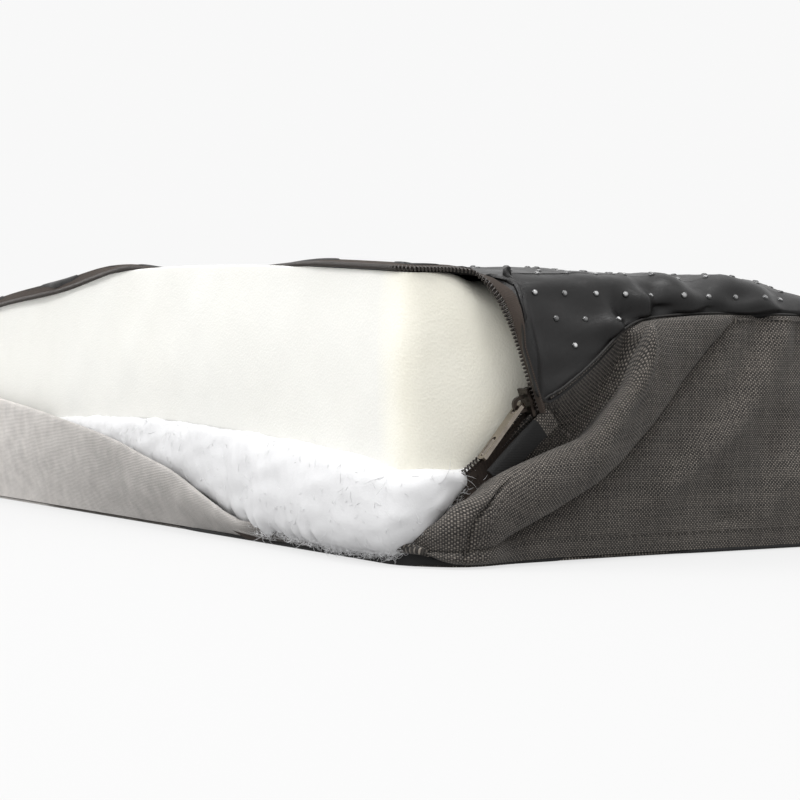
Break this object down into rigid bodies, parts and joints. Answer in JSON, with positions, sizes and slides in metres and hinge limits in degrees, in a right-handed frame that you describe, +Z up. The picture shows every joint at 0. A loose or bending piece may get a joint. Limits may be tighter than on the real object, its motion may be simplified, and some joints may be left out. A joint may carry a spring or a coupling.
{
  "type": "kneeling pad",
  "caption": "Boxed kneeling pad lying grip side up, its zipped canvas cover open round one corner over a foam slab and loose batting.",
  "frame": {"origin": "centre of the flat canvas kneeling face that rests on the ground, the pad lying grip side up as shown", "axes": "+Z up, +X along the pad's length, +Y across its width away from the zipped long side; the open corner is at +X -Y"},
  "size_m": [0.4655, 0.2996, 0.1087],
  "materials": {
    "canvas": "coarse plain-woven canvas, warm dark grey, matt",
    "grip_base": "black coated nylon with a slight sheen and raised clear grip dots",
    "foam": "cream open-cell foam, matt",
    "batting": "white loose polyester fibre",
    "zip_tape": "black woven tape",
    "zip_coil": "black nylon coil",
    "slider_metal": "dark bronze plating",
    "pull_metal": "bright worn plating",
    "stop_metal": "dull plating"
  },
  "bodies": {
    "cover": {"knee_panel": "canvas", "right_band": "canvas", "rear_band": "canvas", "left_band": "canvas", "corner_band": "canvas", "front_band_near": "canvas", "front_band_far": "canvas", "zip_end_tab": "canvas", "zip_tape_base": "zip_tape", "zip_tape_band_near": "zip_tape", "zip_tape_band_far": "zip_tape", "seam_binding": "zip_tape", "zip_coil_base": "zip_coil", "zip_coil_band_near": "zip_coil", "zip_coil_band_far": "zip_coil", "foam_core": "foam", "batting_sheet": "batting", "base_panel": "grip_base", "zip_bottom_stop": "stop_metal", "zip_top_stop": "stop_metal"},
    "front_flap": {"front_band": "canvas", "zip_tape_band_front": "zip_tape", "zip_coil_band_front": "zip_coil"},
    "slider": {"slider_body": "slider_metal", "slider_cap": "slider_metal"},
    "pull": {"pull_tab": "pull_metal"}
  },
  "joints": [
    {"name": "front_band_hinge", "type": "hinge", "parent": "cover", "child": "front_flap", "pos_m": [0, -0.145, 0.0023], "axis": [1, 0, 0], "range_deg": [0, 40]},
    {"name": "slider_travel", "type": "slide", "parent": "cover", "child": "slider", "axis": [-0.0541, -0.3069, 0.9502], "range_m": [0, 0.012]},
    {"name": "pull_hinge", "type": "hinge", "parent": "slider", "child": "pull", "pos_m": [0.22379, -0.10757, 0.04939], "axis": [-0.9848, 0.1736, 0], "range_deg": [-5, 115]}
  ]
}
